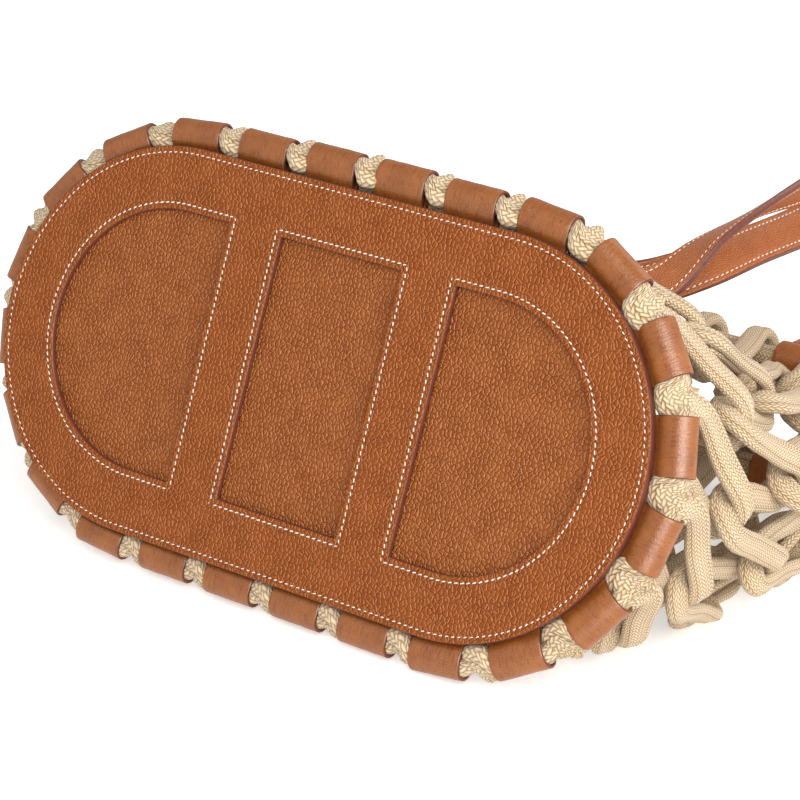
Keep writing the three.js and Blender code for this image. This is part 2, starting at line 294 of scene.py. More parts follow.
class Shader:
    """A node material with a Principled shader and short ways to add nodes."""

    def __init__(self, name, **values):
        self.material = bpy.data.materials.new(name)
        self.material.use_nodes = True
        self.nodes = self.material.node_tree.nodes
        self.links = self.material.node_tree.links
        self.surface = self.nodes["Principled BSDF"]
        for key, value in values.items():
            self.surface.inputs[key.replace("_", " ")].default_value = value

    def put(self, socket, value):
        if isinstance(value, bpy.types.NodeSocket):
            self.links.new(value, socket)
        else:
            socket.default_value = value

    def math(self, operation, *values):
        node = self.nodes.new("ShaderNodeMath")
        node.operation = operation
        for socket, value in zip(node.inputs, values):
            self.put(socket, value)
        return node.outputs[0]

    def node(self, kind, out, inputs=None, **settings):
        node = self.nodes.new(kind)
        for key, value in settings.items():
            setattr(node, key, value)
        for key, value in (inputs or {}).items():
            self.put(node.inputs[key], value)
        return node.outputs[out]

    def uv(self):
        return self.node("ShaderNodeTexCoord", "UV")

    def place(self):
        return self.node("ShaderNodeTexCoord", "Object")

    def scaled(self, vector, factors):
        return self.node("ShaderNodeVectorMath", 0, {0: vector, 1: factors}, operation="MULTIPLY")

    def moved(self, vector, by):
        return self.node("ShaderNodeVectorMath", 0, {0: vector, 1: by}, operation="ADD")

    def noise(self, vector, scale, detail=2.0, rough=0.5):
        inputs = {"Vector": vector, "Scale": scale, "Detail": detail, "Roughness": rough}
        return self.node("ShaderNodeTexNoise", "Fac", inputs)

    def ramp(self, factor, stops):
        node = self.nodes.new("ShaderNodeValToRGB")
        self.put(node.inputs["Fac"], factor)
        elements = node.color_ramp.elements
        while len(elements) < len(stops):
            elements.new(0.5)
        for element, (at, colour) in zip(elements, stops):
            element.position = at
            element.color = (*colour, 1)
        return node.outputs["Color"]

    def bump(self, height, strength, distance, normal=None):
        inputs = {"Height": height, "Strength": strength, "Distance": distance}
        if normal is not None:
            inputs["Normal"] = normal
        return self.node("ShaderNodeBump", "Normal", inputs)

    def set(self, key, value):
        self.put(self.surface.inputs[key], value)


def leather(name, dark, light, grain, stretch, depth, gloss, crease=0.0):
    """Pebbled leather on coordinates in millimetres: grain is the pebbles' size."""
    look = Shader(name, Specular_IOR_Level=gloss)
    uv = look.uv()
    wander = look.node("ShaderNodeTexNoise", "Color", {"Vector": uv, "Scale": 0.45, "Detail": 2.0})
    shifted = look.moved(uv, look.scaled(look.moved(wander, (-0.5, -0.5, -0.5)), (1.6, 1.6, 0)))

    def pebbles(along):
        stretched = look.scaled(look.moved(shifted, (along, 0.3 * along, 0)), (1.0, stretch, 1.0))
        inputs = {"Vector": stretched, "Scale": 1 / grain, "Randomness": 0.9}
        cells = look.node("ShaderNodeTexVoronoi", "Distance", inputs,
                          feature="DISTANCE_TO_EDGE", voronoi_dimensions="2D")
        return look.node("ShaderNodeMapRange", "Result", {"Value": cells, "From Max": CREASE_WIDE},
                         interpolation_type="SMOOTHSTEP")

    fine = look.noise(uv, 1.7, 3.0, 0.6)
    swell = look.noise(uv, 0.09, 2.0)
    height = look.math("MULTIPLY_ADD", fine, 0.5, pebbles(0.0))
    # Painted light and shade: one flank of each pebble is painted lighter, as if lit from one side, and
    # the other flank darker
    painted_flank_light = look.math("SUBTRACT", pebbles(-PAINTED_LIGHT_STEP * grain), pebbles(PAINTED_LIGHT_STEP * grain))
    tone = look.math("MULTIPLY_ADD", swell, 0.26, look.math("MULTIPLY_ADD", fine, 0.34, 0.18))
    sheen = fine
    if crease:
        ridges = look.noise(look.scaled(shifted, (0.2, 1.3, 1.0)), 1.0, 4.0, 0.6)
        fold = look.math("ABSOLUTE", look.math("MULTIPLY_ADD", ridges, 2.0, -1.0))
        # Thin pale lines along the creases are painted highlight
        line = look.math("POWER", look.math("SUBTRACT", 1.0, fold), 7.0)
        height = look.math("MULTIPLY_ADD", ridges, crease, look.math("MULTIPLY", height, 0.2))
        tone = look.math("MULTIPLY_ADD", swell, 0.35, look.math("MULTIPLY_ADD", ridges, 0.4, 0.05))
        # The creases' painted highlight lines and the pebbles' painted flank light and shade go into the
        # tone
        tone = look.math("MULTIPLY_ADD", painted_flank_light, 0.07, look.math("MULTIPLY_ADD", line, 0.15, tone))
        sheen = look.math("MULTIPLY_ADD", ridges, 0.8, -0.25)
    else:
        # Painted highlight: pale specks on the most lit of the painted flanks, added to the tone with the
        # flanks' painted light and shade
        painted_glint = look.math("POWER", look.math("MAXIMUM", painted_flank_light, 0.0), 2.0)
        tone = look.math("MULTIPLY_ADD", painted_glint, 0.52, look.math("MULTIPLY_ADD", painted_flank_light, 0.09, tone))
    deep = tuple(0.55 * part for part in dark)
    # The palest stop colours the painted highlight of the specks and crease lines, and in the loops also
    # the palest of the leather's own tone
    pale_and_glint = tuple(1.25 * part + 0.03 for part in light)
    look.set("Base Color", look.ramp(tone, ((0.14, deep), (0.36, dark), (0.62, light), (0.84, pale_and_glint))))
    look.set("Roughness", look.math("MULTIPLY_ADD", sheen, 0.25, 0.36))
    look.set("Normal", look.bump(height, 0.9, depth))
    return look.material


def edge_paint():
    look = Shader("edge_paint", Specular_IOR_Level=0.3, Coat_Weight=0.12, Coat_Roughness=0.2)
    uv = look.uv()
    streak = look.noise(look.scaled(uv, (0.25, 3.0, 1.0)), 1.0, 3.0)
    look.set("Base Color", look.ramp(streak, ((0.3, (0.085, 0.02, 0.01)), (0.75, (0.19, 0.05, 0.028)))))
    look.set("Roughness", look.math("MULTIPLY_ADD", streak, 0.25, 0.28))
    look.set("Normal", look.bump(streak, 0.35, 0.0002))
    return look.material


def thread(name, dark, light):
    look = Shader(name, Specular_IOR_Level=0.3, Sheen_Weight=0.2)
    place = look.place()
    ply = look.noise(place, 2600.0, 2.0)
    look.set("Base Color", look.ramp(ply, ((0.3, dark), (0.65, light))))
    look.set("Roughness", look.math("MULTIPLY_ADD", ply, 0.2, 0.5))
    look.set("Normal", look.bump(ply, 0.4, 0.0002))
    return look.material


def rope_look():
    """Braid on coordinates of turns round the rope and plaits along it."""
    look = Shader("rope_braid", Specular_IOR_Level=0.1, Sheen_Weight=0.2, Sheen_Roughness=0.5)
    split = look.nodes.new("ShaderNodeSeparateXYZ")
    look.put(split.inputs[0], look.uv())
    turn = look.math("MULTIPLY", split.outputs[0], float(YARNS))
    right = look.math("ADD", turn, split.outputs[1])
    left = look.math("SUBTRACT", turn, split.outputs[1])
    right_number, left_number = look.math("FLOOR", right), look.math("FLOOR", left)
    phase = look.math("FLOORED_MODULO", look.math("ADD", right_number, left_number), 4.0)
    # Each yarn passes over two and under two
    under = look.math("GREATER_THAN", phase, 1.5)
    right_share, left_share = look.math("FRACT", right), look.math("FRACT", left)
    difference = look.math("SUBTRACT", left_share, right_share)
    across = look.math("MULTIPLY_ADD", under, difference, right_share)
    along = look.math("SUBTRACT", left_share, look.math("MULTIPLY", under, difference))
    part = look.math("MULTIPLY_ADD", under, -2.0, phase)
    along = look.math("MULTIPLY", look.math("ADD", along, part), 0.5)
    fall = look.math("SUBTRACT", 1.0, across)
    arch = look.math("MULTIPLY", look.math("MULTIPLY", across, 4.0), fall)
    crown = look.math("POWER", arch, 0.75)
    from_middle = look.math("ABSOLUTE", look.math("MULTIPLY_ADD", along, 2.0, -1.0))
    ends = look.math("POWER", from_middle, 3.0)
    height = look.math("MULTIPLY", crown, look.math("MULTIPLY_ADD", ends, -0.85, 1.0))
    spot = look.nodes.new("ShaderNodeCombineXYZ")
    look.put(spot.inputs[0], look.math("MULTIPLY", across, 4.0))
    look.put(spot.inputs[1], look.math("MULTIPLY", along, 1.2))
    yarn = look.math("MULTIPLY_ADD", right_number, 3.7, look.math("MULTIPLY", left_number, 1.9))
    look.put(spot.inputs[2], yarn)
    fibre = look.noise(spot.outputs[0], 1.5, 3.0, 0.6)
    drift = look.noise(look.place(), 45.0, 2.0)
    stain = look.math("ADD", look.math("MULTIPLY", fibre, 0.45), look.math("MULTIPLY", drift, 0.16))
    # Colour follows the yarns' height: their crowns pale, the hollows between them and the ends where
    # they dive under darker, as painted shade
    tone = look.math("ADD", look.math("MULTIPLY", height, 0.62), stain)
    # Rows of dark dots run along the rope where the hollow braid folds
    stripe = look.math("PINGPONG", look.math("MULTIPLY", split.outputs[0], 2.0 * DOT_ROWS), 1.0)
    dots = look.math("MULTIPLY_ADD", look.math("PINGPONG", split.outputs[1], 0.5), 1.4, 0.3)
    seam = look.math("MULTIPLY", look.math("POWER", stripe, 9.0), dots)
    tone = look.math("MULTIPLY_ADD", seam, -0.42, tone)
    # The dark low stops colour the painted shade in the hollows between yarns and the rows of dark dots
    colour = look.ramp(tone, (
        (0.14, (0.1, 0.042, 0.01)), (0.42, (0.41, 0.255, 0.118)),
        (0.66, (0.63, 0.475, 0.298)), (1.0, (0.74, 0.618, 0.445))))
    look.set("Base Color", colour)
    look.set("Roughness", look.math("MULTIPLY_ADD", fibre, 0.3, 0.5))
    relief = look.math("ADD", height, look.math("MULTIPLY", fibre, 0.3))
    look.set("Normal", look.bump(relief, 0.8, 0.0006))
    return look.material


def floor_look():
    look = Shader("floor_paper", Specular_IOR_Level=0.1, Emission_Color=(1, 1, 1, 1),
                  Emission_Strength=FLOOR_GLOW)
    grain = look.noise(look.place(), 60.0, 3.0)
    look.set("Base Color", look.ramp(grain, ((0.3, (0.8, 0.8, 0.8)), (0.7, (0.84, 0.84, 0.84)))))
    look.set("Roughness", look.math("MULTIPLY_ADD", grain, 0.1, 0.8))
    return look.material


FRAME_LEATHER = leather("frame_leather", dark=(0.18, 0.0415, 0.0062), light=(0.303, 0.085, 0.0139),
                        grain=2.0, stretch=0.8, depth=0.00033, gloss=0.1)
PANEL_LEATHER = leather("panel_leather", dark=(0.184, 0.0435, 0.0068), light=(0.333, 0.101, 0.0194),
                        grain=1.95, stretch=0.8, depth=0.00042, gloss=0.13)
LOOP_LEATHER = leather("loop_leather", dark=(0.187, 0.048, 0.0054), light=(0.325, 0.1, 0.0132),
                       grain=1.2, stretch=1.0, depth=0.00014, gloss=0.5, crease=1.6)
STRAP_LEATHER = leather("strap_leather", dark=(0.27, 0.07, 0.013), light=(0.43, 0.13, 0.032),
                        grain=1.1, stretch=0.8, depth=0.0002, gloss=0.3)
EDGE_PAINT = edge_paint()
WHITE_THREAD = thread("white_thread", (0.64, 0.6, 0.52), (0.87, 0.84, 0.78))
BROWN_THREAD = thread("brown_thread", (0.07, 0.016, 0.006), (0.16, 0.045, 0.015))
ROPE = rope_look()


# Meshes

def piece(name, points, faces, uvs=None, looks=(), pick=None):
    """A smooth mesh in the row frame: faces are index arrays, uvs run along the faces' corners."""
    mesh = bpy.data.meshes.new(name)
    sizes = [len(face) for face in faces]
    corners = np.concatenate([np.asarray(face, np.int32) for face in faces])
    starts = np.concatenate([[0], np.cumsum(sizes)[:-1]]).astype(np.int32)
    mesh.vertices.add(len(points))
    mesh.vertices.foreach_set("co", np.asarray(points, np.float32).ravel())
    mesh.loops.add(len(corners))
    mesh.loops.foreach_set("vertex_index", corners)
    mesh.polygons.add(len(faces))
    mesh.polygons.foreach_set("loop_start", starts)
    mesh.polygons.foreach_set("use_smooth", np.ones(len(faces), bool))
    for look in looks:
        mesh.materials.append(look)
    if pick is not None:
        mesh.polygons.foreach_set("material_index", np.asarray(pick, np.int32))
    if uvs is not None:
        layer = mesh.uv_layers.new(name="surface")
        layer.data.foreach_set("uv", np.asarray(uvs, np.float32).ravel())
    mesh.update(calc_edges=True)
    mesh.validate()
    made = bpy.data.objects.new(name, mesh)
    scene.collection.objects.link(made)
    return made


class Patches:
    """Gathers faces with their corners' surface coordinates before they become one mesh."""

    def __init__(self):
        self.points, self.faces, self.uvs, self.picks = [], [], [], []
        self.count = 0

    def grid(self, points, uv, pick=0, close_rows=False, close_columns=False, flip=False):
        """A grid of points; a closed way round has one more row or column of coordinates."""
        rows, columns = points.shape[:2]
        index = np.arange(rows * columns).reshape(rows, columns) + self.count
        if close_rows:
            index = np.vstack([index, index[:1]])
        if close_columns:
            index = np.hstack([index, index[:, :1]])
        quads = np.stack([index[:-1, :-1], index[1:, :-1], index[1:, 1:], index[:-1, 1:]], -1)
        spots = np.stack([uv[:-1, :-1], uv[1:, :-1], uv[1:, 1:], uv[:-1, 1:]], -2)
        quads, spots = quads.reshape(-1, 4), spots.reshape(-1, 4, 2)
        if flip:
            quads, spots = quads[:, ::-1], spots[:, ::-1]
        self.add(points.reshape(-1, 3), quads, spots, pick)

    def add(self, points, faces, spots, pick):
        self.points.append(points)
        self.faces.extend(list(faces))
        self.uvs.append(np.asarray(spots).reshape(-1, 2))
        self.picks.append(np.broadcast_to(pick, len(faces)))
        self.count += len(points)

    def make(self, name, looks, weld=None):
        made = piece(name, np.concatenate(self.points), self.faces, np.concatenate(self.uvs), looks,
                     np.concatenate(self.picks))
        if weld:
            tidy = made.modifiers.new("weld", "WELD")
            tidy.merge_threshold = weld
            whole = bpy.data.meshes.new_from_object(
                made.evaluated_get(bpy.context.evaluated_depsgraph_get()))
            made.modifiers.clear()
            old = made.data
            made.data = whole
            bpy.data.meshes.remove(old)
        return made


def show(made, slot, *nodes):
    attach(made, "root")
    if nodes:
        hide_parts(*nodes)
    return made


# Base

def base_row(points):
    """The base's own axes, x along, y inwards and z up its plane, to the row frame."""
    points = np.asarray(points, float)
    x, y, z = points[..., 0], points[..., 1], points[..., 2]
    turned = np.stack([x, y * math.cos(LEAN) + z * math.sin(LEAN),
                       z * math.cos(LEAN) - y * math.sin(LEAN)], -1)
    return row(turned)


def stadium_loop(radius, pitch):
    """Points round a stadium, clockwise as seen from the front."""
    steps = round(math.pi * RADIUS / pitch)
    straight = round(2 * HALF / pitch)
    angles = np.linspace(0, math.pi, steps, endpoint=False)
    right = np.stack([HALF + radius * np.sin(angles), radius * np.cos(angles)], -1)
    along = np.linspace(HALF, -HALF, straight, endpoint=False)
    low = np.stack([along, np.full(straight, -radius)], -1)
    return np.concatenate([right, low, -right, -low])


def end_window_loop(side, grow, pitch):
    radius = WINDOW_RADIUS + grow
    edge = END_EDGE - grow
    steps = round(math.pi * WINDOW_RADIUS / pitch)
    short = round((HALF - END_EDGE) / pitch)
    tall = round(2 * WINDOW_RADIUS / pitch)
    angles = np.linspace(0, math.pi, steps, endpoint=False)
    arc = np.stack([HALF + radius * np.sin(angles), radius * np.cos(angles)], -1)
    low_x = np.linspace(HALF, edge, short, endpoint=False)
    low = np.stack([low_x, np.full(short, -radius)], -1)
    up = np.stack([np.full(tall, edge), np.linspace(-radius, radius, tall, endpoint=False)], -1)
    top = np.stack([np.linspace(edge, HALF, short, endpoint=False), np.full(short, radius)], -1)
    loop = np.concatenate([arc, low, up, top])
    return loop if side > 0 else -loop


def middle_window_loop(grow, pitch):
    half, radius = MIDDLE / 2 + grow, WINDOW_RADIUS + grow
    tall, wide = round(2 * WINDOW_RADIUS / pitch), round(MIDDLE / pitch)
    right = np.stack([np.full(tall, half), np.linspace(radius, -radius, tall, endpoint=False)], -1)
    low = np.stack([np.linspace(half, -half, wide, endpoint=False), np.full(wide, -radius)], -1)
    return np.concatenate([right, low, -right, -low])


def rim_distance(spots, radius):
    """How far inside a stadium's edge each spot lies."""
    return radius - np.hypot(np.maximum(np.abs(spots[:, 0]) - HALF, 0), spots[:, 1])


def corner_distance(a, b):
    return np.hypot(np.maximum(a, 0), np.maximum(b, 0)) + np.minimum(np.maximum(a, b), 0)


def window_distance(spots):
    """How far outside the nearest window each spot lies."""
    ends = corner_distance(-rim_distance(spots, WINDOW_RADIUS), END_EDGE - np.abs(spots[:, 0]))
    middle = corner_distance(np.abs(spots[:, 0]) - MIDDLE / 2, np.abs(spots[:, 1]) - WINDOW_RADIUS)
    return np.minimum(ends, middle)


EDGE_ROWS = (0.0, 0.08, 0.3, 0.65, 1.1, 1.7, 2.2, 2.75, 3.3, 3.9, 5.0)
EDGE_ROUND = 0.9
EDGE_PITCH = 2.0
PAINTED_ROWS = 2
PANEL_EDGE_ROWS = 6
GROOVE_DEEP = 0.34
GROOVE_WIDE = 0.6
FACE_PITCH = 3.0
FACE_HALF = 158
FACE_UP = 80
WAVE_HIGH = 0.12
WAVE_PITCH = 0.06
WAVE_FROM_EDGE = 6
PANEL_SWELL = 0.7
SWELL_REACH = 14
WELD = 2e-6


def edge_fall(distance):
    """How far the surface lies below the face: a rounded edge and a sewn groove."""
    near = np.clip(EDGE_ROUND - distance, 0, EDGE_ROUND)
    rounded = EDGE_ROUND - np.sqrt(EDGE_ROUND ** 2 - near ** 2)
    groove = GROOVE_DEEP * np.exp(-((distance - STITCH_IN) / GROOVE_WIDE) ** 2)
    return rounded + groove


def ripple(spots, scale, seed):
    return np.array([noise.noise(Vector((x * scale, z * scale, seed))) for x, z in spots])


def inside(spots, loops):
    """Whether each spot lies within an odd number of closed loops."""
    odd = np.zeros(len(spots), bool)
    for start in loops:
        end = np.roll(start, -1, 0)
        rise = end[:, 1] - start[:, 1]
        crosses = (start[:, 1] > spots[:, 1:]) != (end[:, 1] > spots[:, 1:])
        share = (spots[:, 1:] - start[:, 1]) / np.where(rise == 0, 1, rise)
        right = spots[:, :1] < start[:, 0] + share * (end[:, 0] - start[:, 0])
        odd ^= (crosses & right).sum(1) % 2 == 1
    return odd


def at_depth(spots, depth):
    return np.stack([spots[:, 0], np.broadcast_to(depth, len(spots)), spots[:, 1]], -1)


def filled(loops, extra):
    """Triangles that fill a flat shape between closed loops of spots."""
    spots = np.concatenate([*loops, extra])
    edges, first = [], 0
    for loop in loops:
        count = len(loop)
        edges += [(first + k, first + (k + 1) % count) for k in range(count)]
        first += count
    made = geometry.delaunay_2d_cdt([Vector(spot) for spot in spots], edges, [], 0, 1e-5)
    flat = np.array([tuple(v) for v in made[0]])
    triangles = np.array(made[2])
    triangles = triangles[inside(flat[triangles].mean(1), loops)]
    a, b, c = (flat[triangles[:, k]] for k in range(3))
    turn = (b - a)[:, 0] * (c - a)[:, 1] - (b - a)[:, 1] * (c - a)[:, 0]
    triangles[turn < 0] = triangles[turn < 0][:, ::-1]
    return flat, triangles


def plate(name, loops, distance, front, thick, looks, swell):
    """A leather plate from rows of spots along its edges, with rounded edges and walls."""
    def face(spots):
        reach = distance(spots)
        wave = WAVE_HIGH * ripple(spots, WAVE_PITCH, 3.0) * np.clip(reach / WAVE_FROM_EDGE, 0, 1)
        depth = front + edge_fall(reach) - wave - swell(spots)
        return base_row(at_depth(spots, depth))

    patches = Patches()
    along = np.arange(-FACE_HALF, FACE_HALF + 1, FACE_PITCH)
    up = np.arange(-FACE_UP, FACE_UP + 1, FACE_PITCH)
    grid = np.stack(np.meshgrid(along, up), -1).reshape(-1, 2)
    grid[:, 0] += FACE_PITCH / 2 * (np.round(grid[:, 1] / FACE_PITCH) % 2)
    margin = EDGE_ROWS[len(loops[0]) - 1] + FACE_PITCH / 2
    flat, triangles = filled([rows[-1] for rows in loops], grid[distance(grid) > margin])
    patches.add(face(flat), triangles, flat[triangles], 0)
    flat, triangles = filled([rows[0] for rows in loops], np.zeros((0, 2)))
    back = at_depth(flat, front + thick)
    patches.add(base_row(back), triangles[:, ::-1] + patches.count, flat[triangles[:, ::-1]], 0)
    for rows in loops:
        strip = np.stack([face(loop) for loop in rows])
        uv = np.stack([looped(loop) for loop in rows])
        painted = np.repeat(np.arange(len(rows) - 1) < PAINTED_ROWS, len(rows[0]))
        patches.grid(strip, uv, painted.astype(int), close_columns=True, flip=rows is not loops[0])
        loop = rows[0]
        length = run(looped(loop))
        depths = front + EDGE_ROUND + np.linspace(0, thick - EDGE_ROUND, 4)
        wall = np.stack([at_depth(loop, y) for y in depths])
        uv = np.stack([np.stack([length, np.full(len(length), y)], -1) for y in depths])
        patches.grid(base_row(wall), uv, 1, close_columns=True, flip=rows is loops[0])
    return patches.make(name, looks, weld=WELD)


outer_rows = [stadium_loop(RADIUS - step, EDGE_PITCH) for step in EDGE_ROWS]
window_rows = [
    [end_window_loop(-1, step, EDGE_PITCH) for step in EDGE_ROWS],
    [middle_window_loop(step, EDGE_PITCH) for step in EDGE_ROWS],
    [end_window_loop(1, step, EDGE_PITCH) for step in EDGE_ROWS],
]


def frame_distance(spots):
    return np.minimum(rim_distance(spots, RADIUS), window_distance(spots))


def panel_distance(spots):
    return rim_distance(spots, PANEL_RADIUS)


def panel_swell(spots):
    return PANEL_SWELL * np.clip(-window_distance(spots) / SWELL_REACH, 0, 1) ** 0.7


def no_swell(spots):
    return 0.0


show(plate("base_frame_leather", [outer_rows, *window_rows], frame_distance, 0.0, FRAME_THICK,
           (FRAME_LEATHER, EDGE_PAINT), no_swell), "frame_leather", "base_frame")
panel_rows = [stadium_loop(PANEL_RADIUS - step, EDGE_PITCH) for step in EDGE_ROWS[:PANEL_EDGE_ROWS]]
show(plate("base_panel_leather", [panel_rows], panel_distance, PANEL_FRONT, PANEL_THICK,
           (PANEL_LEATHER, EDGE_PAINT), panel_swell), "panel_leather", "base_panel")


# Stitches: short slanted lengths of thread in a row

def walk(points, closed, pitch):
    """Even steps along a line: places, directions and where they fall among the points."""
    line = looped(points) if closed else points
    length = run(line)
    count = max(1, round(length[-1] / pitch))
    at = (np.arange(count) + 0.5) * length[-1] / count

    def sample(values):
        values = looped(values) if closed else values
        return np.stack([np.interp(at, length, values[:, k]) for k in range(values.shape[1])], -1)

    places = sample(points)
    ahead = np.stack([np.interp(at + WALK_STEP, length, line[:, k]) for k in range(3)], -1)
    behind = np.stack([np.interp(at - WALK_STEP, length, line[:, k]) for k in range(3)], -1)
    return places, unit(ahead - behind), sample


def stitch_row(patches, places, along, out, lift, slant=STITCH_SLANT, size=1.0):
    """Adds a stitch at each place; along is the seam's way and out the surface's."""
    side = unit(np.cross(along, out))
    way = math.cos(slant) * along + math.sin(slant) * side
    over = unit(np.cross(out, way))
    angles = np.arange(STITCH_SIDES) * math.tau / STITCH_SIDES
    shares = ((-1, 0.2), (-0.6, 0.95), (0.6, 0.95), (1, 0.2))
    rings = []
    for reach, share in shares:
        height = lift - STITCH_DIP * abs(reach) ** 3
        centre = places + way * (reach * size * STITCH_LENGTH / 2) + out * height
        wide = (np.cos(angles) * share * size * STITCH_WIDE / 2)[None, :, None]
        high = (np.sin(angles) * share * size * STITCH_HIGH / 2)[None, :, None]
        rings.append(centre[:, None] + over[:, None] * wide + out[:, None] * high)
    body = np.stack(rings, 1)
    uv = np.stack(np.meshgrid(np.linspace(0, 1, STITCH_SIDES + 1), np.linspace(0, 1, len(shares))), -1)
    for stitch in body:
        start = patches.count
        patches.grid(stitch, uv, close_columns=True)
        last = start + STITCH_SIDES * (len(shares) - 1)
        ends = [np.arange(start, start + STITCH_SIDES), np.arange(last, last + STITCH_SIDES)[::-1]]
        patches.faces.extend(ends)
        patches.uvs.append(np.zeros((2 * STITCH_SIDES, 2)))
        patches.picks.append(np.zeros(2, int))


def face_seam(patches, loop, size=1.0):
    places, along, _ = walk(at_depth(loop, 0.0), True, STITCH_PITCH)
    out = np.broadcast_to(np.array([0.0, -1.0, 0.0]), places.shape)
    stitch_row(patches, places, along, out, SEAM_LIFT, size=size)


seams = Patches()
face_seam(seams, stadium_loop(RADIUS - STITCH_IN, SEAM_PITCH), OUTER_STITCH)
for side in (-1, 1):
    face_seam(seams, end_window_loop(side, STITCH_IN, SEAM_PITCH))
face_seam(seams, middle_window_loop(STITCH_IN, SEAM_PITCH))
seams.points = [base_row(points) for points in seams.points]
show(seams.make("base_stitches", (WHITE_THREAD,)), None)


# Leather loops

def catmull(points, shares, closed=False):
    """Centripetal Catmull-Rom curve through the points at shares of its way."""
    points = np.asarray(points, float)
    count = len(points)
    spans = count if closed else count - 1
    at = np.asarray(shares, float) * spans
    if closed:
        at = np.mod(at, count)
        index = np.floor(at).astype(int) % count
        get = lambda k: points[np.mod(k, count)]
    else:
        index = np.clip(np.floor(at).astype(int), 0, spans - 1)
        padded = np.concatenate([2 * points[:1] - points[1:2], points, 2 * points[-1:] - points[-2:-1]])
        get = lambda k: padded[k + 1]
    part = (at - index)[:, None]
    p0, p1, p2, p3 = get(index - 1), get(index), get(index + 1), get(index + 2)

    def knot(a, b):
        return np.maximum(np.sum((b - a)[:, :3] ** 2, -1) ** 0.25, 1e-4)[:, None]

    d0, d1, d2 = knot(p0, p1), knot(p1, p2), knot(p2, p3)
    t1 = ((p1 - p0) / d0 - (p2 - p0) / (d0 + d1) + (p2 - p1) / d1) * d1
    t2 = ((p2 - p1) / d1 - (p3 - p1) / (d1 + d2) + (p3 - p2) / d2) * d1
    return (p1 + t1 * part + (3 * p2 - 3 * p1 - 2 * t1 - t2) * part ** 2
            + (2 * p1 - 2 * p2 + t1 + t2) * part ** 3)


# Middle line of the folded strip, outwards and in depth from the tunnel's axis
TAB_FOLD = ((-17, -0.85), (-9, -0.85), (-6.4, -1.1), (-5.5, -1.65), (-4.85, -2.6), (-4.1, -3.6),
            (-3.0, -4.55), (-1.5, -5.2), (0.2, -5.3), (2.0, -4.8), (3.6, -3.85), (4.8, -2.3), (5.35, 0))
SLEEVE_FOLD = ((-17, -1.15), (-11, -1.15), (-8.7, -1.6), (-7.1, -2.9), (-5.4, -4.9), (-2.9, -6.5),
               (0.2, -7.1), (3.2, -6.4), (5.8, -4.2), (7.1, 0))
SLEEVE_LEATHER = 2.2
# Share of the strip's half width, and how far the face lies in there
ACROSS = ((1.0, 0.5), (0.992, 0.22), (0.975, 0.06), (0.94, 0.0), (0.75, 0.0), (0.5, 0.0), (0.25, 0.0),
          (0.0, 0.0))
FOLD_STEPS = 57
FOLD_WAVE = 0.16
ROOT_FROM = -1
ROOT_REACH = 5.4


def rooted(fold, lean):
    """A fold whose root stays on the base while the rest leans out and back."""
    share = np.clip((ROOT_FROM - fold[:, :1]) / ROOT_REACH, 0, 1)
    return fold - share ** 2 * (3 - 2 * share) * lean


def folded_strip(name, fold, width, to_row, seed, thick=LEATHER, lean=np.zeros(2)):
    """A leather strip folded round a rope: fold is half of its middle line."""
    half = np.asarray(fold, float)
    whole = np.concatenate([half, half[-2::-1] * (1, -1)])
    line = catmull(rooted(whole, lean), np.linspace(0, 1, FOLD_STEPS))
    way = unit(np.gradient(line, axis=0))
    out = np.stack([way[:, 1], -way[:, 0]], -1)
    length = run(line)
    spread = [*ACROSS, *((-share, inset) for share, inset in ACROSS[-2::-1])]
    faces = {}
    for face, sign in (("outer", 1), ("inner", -1)):
        rows = []
        for share, inset in spread:
            wave = np.array([noise.noise(Vector((s * 0.11, share * 5.5, seed))) for s in length])
            lift = sign * (thick / 2 - inset) + (FOLD_WAVE * wave if inset < 0.3 else 0)
            flat = line + out * np.reshape(lift, (-1, 1))
            rows.append(np.stack([flat[:, 0], flat[:, 1], np.full(len(flat), share * width / 2)], -1))
        faces[face] = np.stack(rows)
    uv = np.stack(np.meshgrid(length + 40 * seed, [share * width / 2 for share, _ in spread]), -1)
    patches = Patches()
    painted = np.zeros((len(spread) - 1, len(line) - 1), int)
    painted[:2] = painted[-2:] = 1
    patches.grid(to_row(faces["outer"]), uv, painted.ravel())
    patches.grid(to_row(faces["inner"]), uv, painted.ravel(), flip=True)
    every = slice(None)
    for edge, flip in ((0, False), (-1, True), ((every, 0), True), ((every, -1), False)):
        cap = np.stack([faces["inner"][edge], faces["outer"][edge]])
        cap_uv = np.stack([uv[edge], uv[edge] + (0, thick)])
        patches.grid(to_row(cap), cap_uv, 1, flip=flip)
    return patches.make(name, (LOOP_LEATHER, EDGE_PAINT), weld=WELD)


def stadium(turn, half, radius):
    """Centre and outward direction at a share of a turn, clockwise from the top middle."""
    arc = math.pi * radius
    run = (turn - math.floor(turn)) * (4 * half + 2 * arc)
    stretches = ((half, 0, half, 0, 0), (arc, half, half, 0, math.pi),
                 (2 * half, half, -half, math.pi, 0), (arc, -half, -half, math.pi, math.pi),
                 (half, -half, 0, 0, 0))
    for length, start, end, angle, sweep in stretches:
        if run <= length:
            share = run / length
            angle += share * sweep
            return start + share * (end - start), math.sin(angle), math.cos(angle)
        run -= length
    return 0.0, 0.0, 1.0


def loop_lean(turn):
    """How much further out and back a loop is drawn by the slumped net than on a bag that stands."""
    centre, out_x, out_z = stadium(turn, HALF, RADIUS)
    x = centre + RADIUS * out_x
    slack = LEFT_SLACK * max(-HALF - x, 0) * min(max(0.5 - out_z, 0), 1)
    lean = LEAN_OUT + LEAN_RIGHT * x + LEAN_TOP * max(out_z, 0) * math.exp(-(x / LEAN_TOP_REACH) ** 2)
    return np.array([lean - slack, LOOP_BACK + 0.5 * slack])


